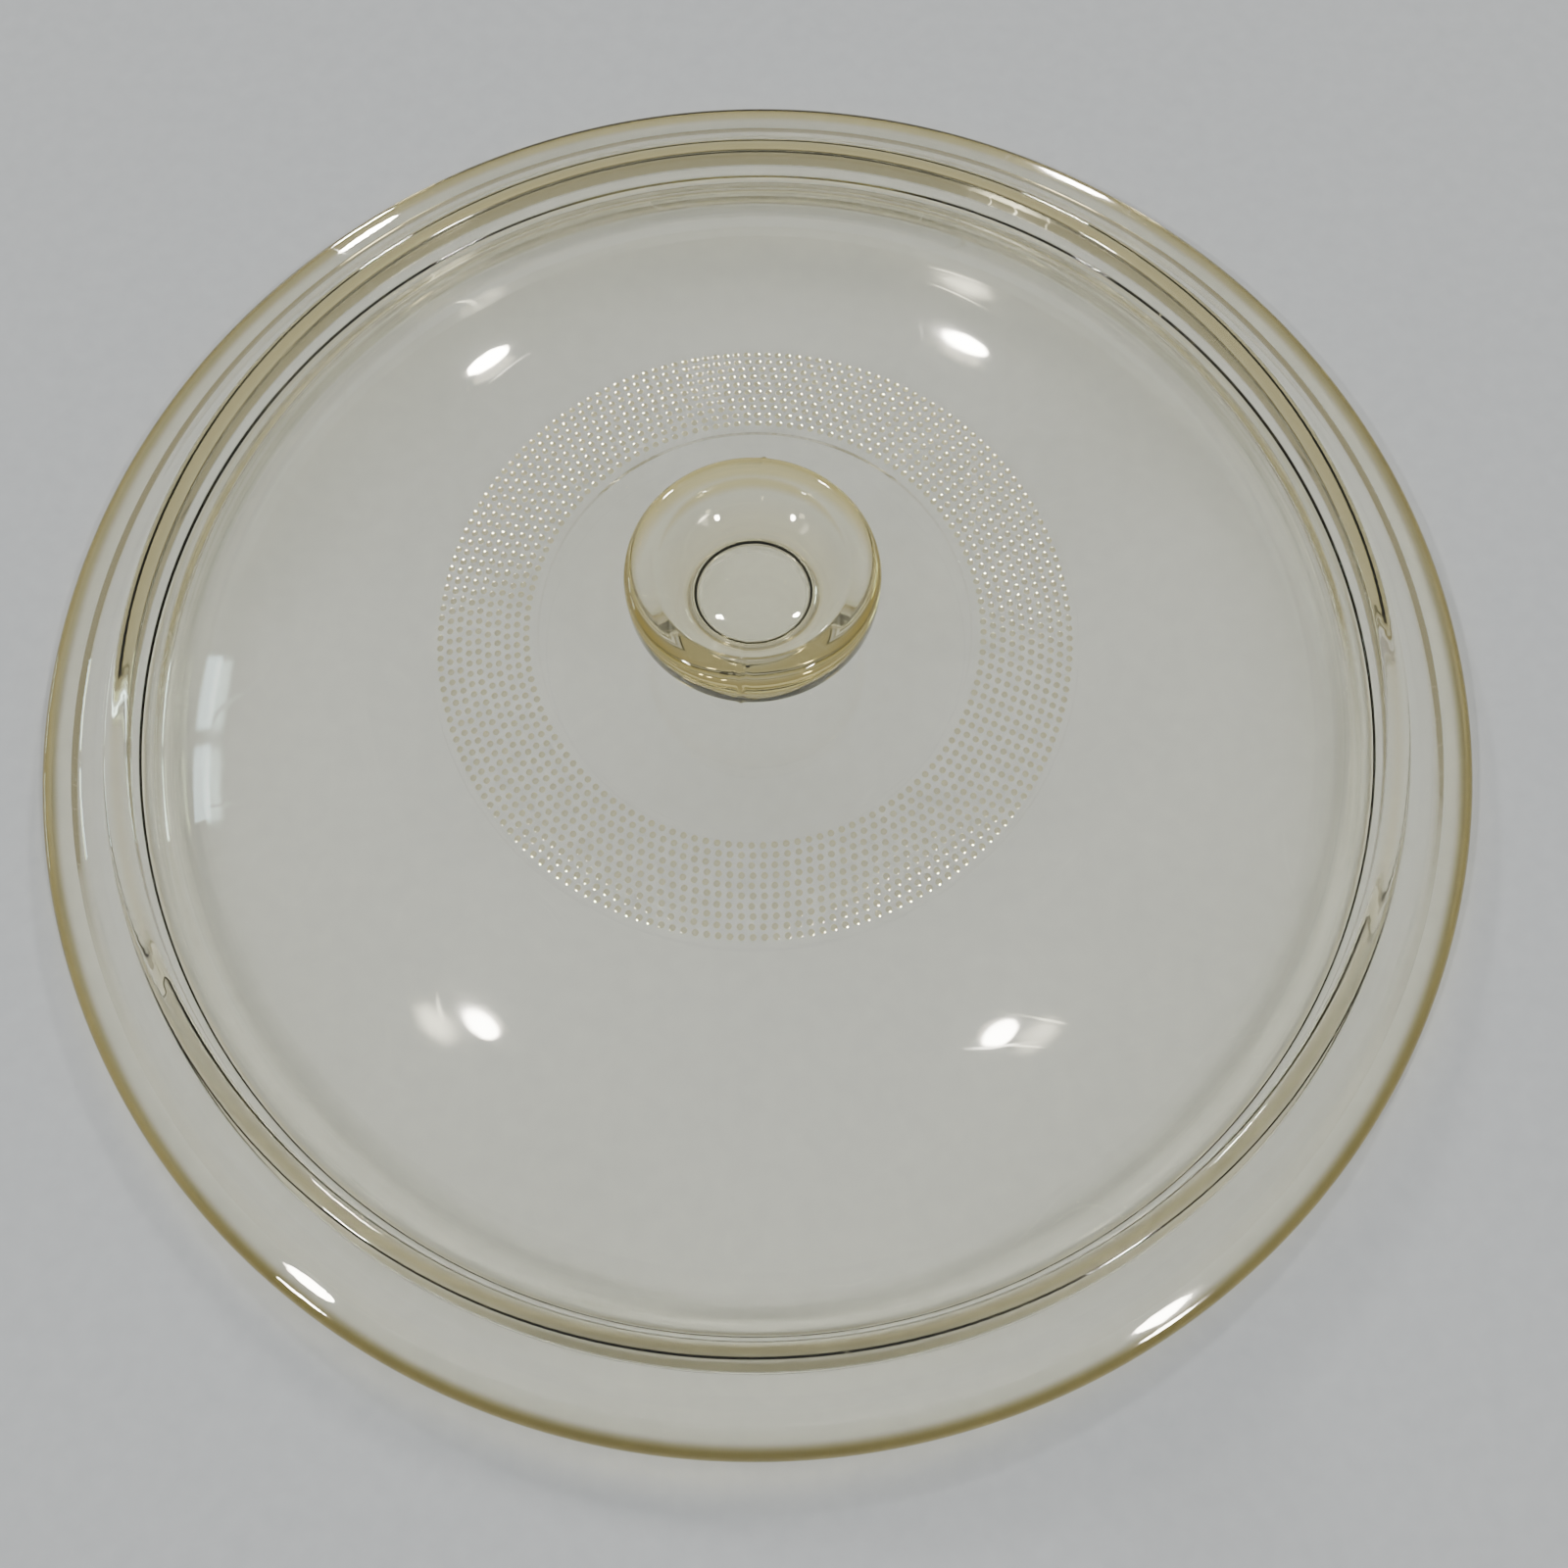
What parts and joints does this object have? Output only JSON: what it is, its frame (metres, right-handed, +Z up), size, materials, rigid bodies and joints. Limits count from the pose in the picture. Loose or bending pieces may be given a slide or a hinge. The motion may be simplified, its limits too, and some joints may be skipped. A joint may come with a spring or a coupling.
{
  "type": "glass casserole lid",
  "caption": "Round clear pressed-glass pot lid: low dome with a dimpled ring, a spool-shaped knob with a bowl-shaped top, and a sloping flange with a locating wall.",
  "frame": {"origin": "on the lid's axis, in the plane that the rim's underside rests on", "axes": "+Z up along the axis of revolution, from the rim to the knob; +X and +Y are equal, with the plane of the knob's mould seams 5 degrees off Y, its near end towards -X"},
  "size_m": [0.24, 0.24, 0.052],
  "materials": {
    "clear_glass": "clear glass, fire-polished, faint straw tint where it is thick"
  },
  "bodies": {
    "root": {"centre_disc": "clear_glass", "dimpled_band": "clear_glass", "dome_shell": "clear_glass", "locating_wall": "clear_glass", "rim_flange": "clear_glass", "knob_neck": "clear_glass", "knob_lip": "clear_glass"}
  },
  "joints": []
}
